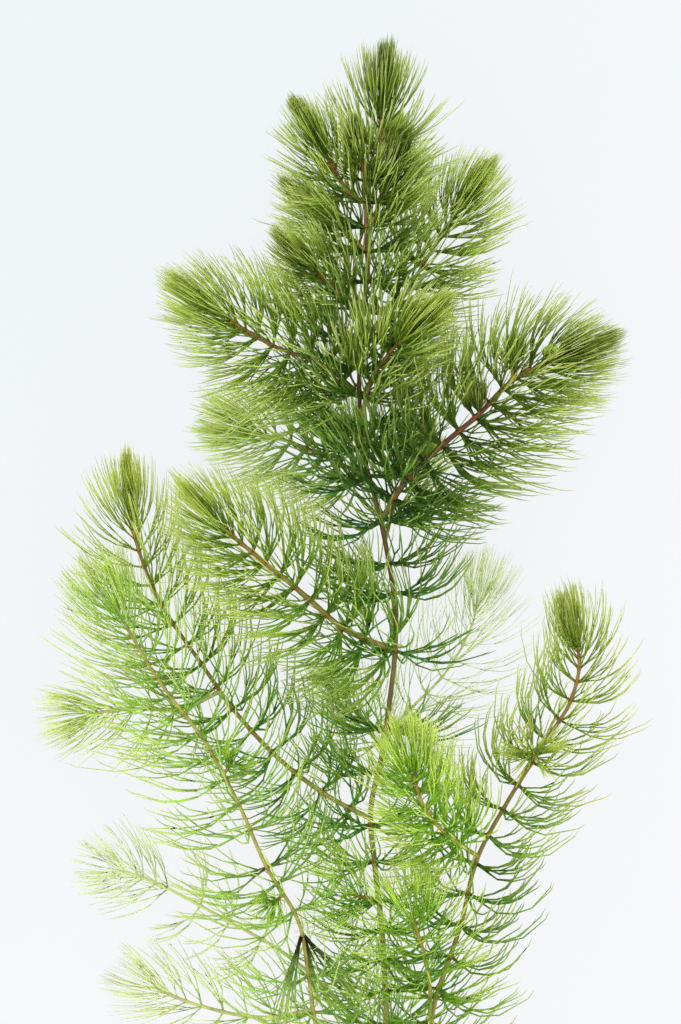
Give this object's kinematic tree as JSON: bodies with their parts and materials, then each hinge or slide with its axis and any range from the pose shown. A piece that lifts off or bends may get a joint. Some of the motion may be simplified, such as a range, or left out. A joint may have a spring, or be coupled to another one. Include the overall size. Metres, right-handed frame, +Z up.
{
  "type": "soft hornwort sprig",
  "caption": "Cut sprig of soft hornwort lying on a surface: a main stem with forking side shoots, whorls of thread-like forked leaves and brush-like tips.",
  "frame": {"origin": "on the surface that the sprig lies on, under the middle of its outline", "axes": "+Y runs along the main stem toward the tip, +Z up off the surface, +X to the right seen from above with the tip away"},
  "size_m": [0.1644, 0.291, 0.057],
  "materials": {
    "stem": "fresh plant stem, reddish brown above and olive yellow below, slightly glossy",
    "leaf": "thin translucent water-plant leaf, dark green at the foot and yellow-green at the tips"
  },
  "bodies": {
    "root": {"main_stem_base": "stem", "main_stem_low": "stem", "main_stem_middle": "stem", "main_stem_high": "stem", "main_stem_crown": "stem", "main_stem_tip": "stem", "top_left_shoot": "leaf", "top_dark_bud": "leaf", "top_right_bud": "leaf", "top_back_bud": "leaf", "high_left_shoot": "leaf", "left_front_shoot": "leaf", "high_right_shoot": "leaf", "right_front_shoot": "leaf", "big_left_shoot": "leaf", "pale_left_shoot": "leaf", "back_bud": "leaf", "back_left_bud": "leaf", "big_right_shoot_low": "leaf", "big_right_shoot_tip": "leaf", "big_right_back_twig": "leaf", "big_right_front_twig": "leaf", "big_right_small_bud": "leaf", "pale_right_shoot": "leaf", "middle_left_shoot": "leaf", "long_left_shoot_low": "leaf", "long_left_shoot_tip": "leaf", "far_left_shoot": "leaf", "outer_left_stem_low": "leaf", "outer_left_stem_middle": "leaf", "outer_left_stem_tip": "leaf", "outer_left_back_bud": "leaf", "outer_left_front_bud": "leaf", "low_left_back_shoot": "leaf", "low_left_shoot": "leaf", "right_stem_low": "leaf", "right_stem_tip": "leaf", "right_front_bud": "leaf", "bright_front_shoot": "leaf", "pale_right_back_shoot": "leaf", "pale_back_shoot": "leaf", "lower_middle_shoot": "leaf", "short_left_shoot": "leaf"}
  },
  "joints": []
}
